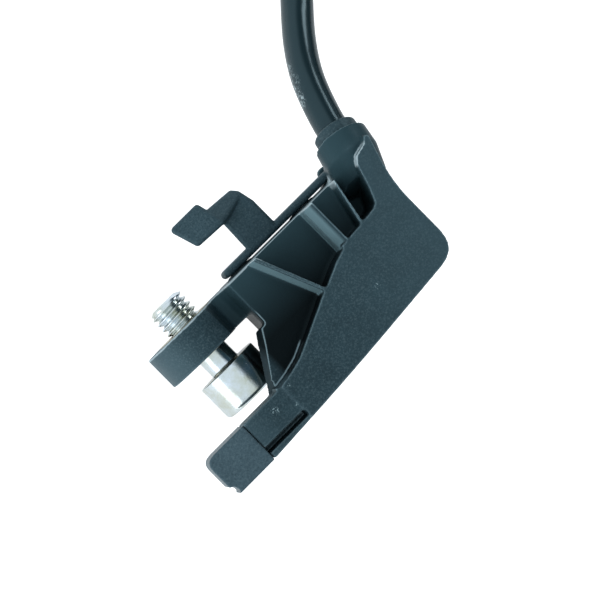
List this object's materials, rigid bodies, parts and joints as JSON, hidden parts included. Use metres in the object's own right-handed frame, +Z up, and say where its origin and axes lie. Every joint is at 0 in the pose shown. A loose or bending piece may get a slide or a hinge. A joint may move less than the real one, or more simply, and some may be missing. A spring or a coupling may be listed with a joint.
{
  "type": "abs wheel speed sensor",
  "caption": "Ribbed moulded wheel speed sensor with a slim sensing head, a captive socket screw in a round ear, a folded cable clip and a coiled lead with a plug.",
  "frame": {"origin": "middle of the sensor's box at the surface that it lies on, the lead and its plug left out", "axes": "+X along the flange from the ear to the cable outlet, +Y out of the seat face along the bolt's thread, +Z up from the back"},
  "size_m": [0.137, 0.0925, 0.02],
  "materials": {
    "glass_filled_nylon": "spark-eroded, matte",
    "head_plastic": "fine matte",
    "chip_epoxy": "moulded epoxy",
    "magnet": "nickel plated",
    "zinc_plated_steel": "zinc plated, faint yellow",
    "bush_steel": "turned, zinc plated",
    "coated_sheet": "black coated",
    "seal_rubber": "moulded",
    "cable_jacket": "glossy, scuffed",
    "core_blue": "extruded",
    "core_brown": "extruded",
    "tinned_bronze": "stamped, tinned",
    "plug_plastic": "moulded",
    "lock_plastic": "moulded",
    "seal_silicone": "moulded silicone",
    "tie_nylon": "moulded"
  },
  "bodies": {
    "root": {"housing": "glass_filled_nylon", "sensing_head": "head_plastic", "sensing_chip": "chip_epoxy", "bias_magnet": "magnet", "limiter_bush": "bush_steel", "mounting_bolt": "zinc_plated_steel", "cable_clip": "coated_sheet", "cable_seal": "seal_rubber", "terminal_a": "tinned_bronze", "terminal_b": "tinned_bronze", "terminal_crimp_a": "tinned_bronze", "terminal_crimp_b": "tinned_bronze", "cable_core_a": "core_blue", "cable_core_b": "core_brown", "plug_contact_a": "tinned_bronze", "plug_contact_b": "tinned_bronze", "plug_shell": "plug_plastic", "plug_wire_seal": "seal_silicone", "plug_nose_seal": "seal_silicone", "plug_lock": "lock_plastic", "cable_tail": "cable_jacket", "cable": "cable_jacket", "cable_coil": "cable_jacket", "coil_tie_a": "tie_nylon", "coil_tie_b": "tie_nylon"}
  },
  "joints": []
}
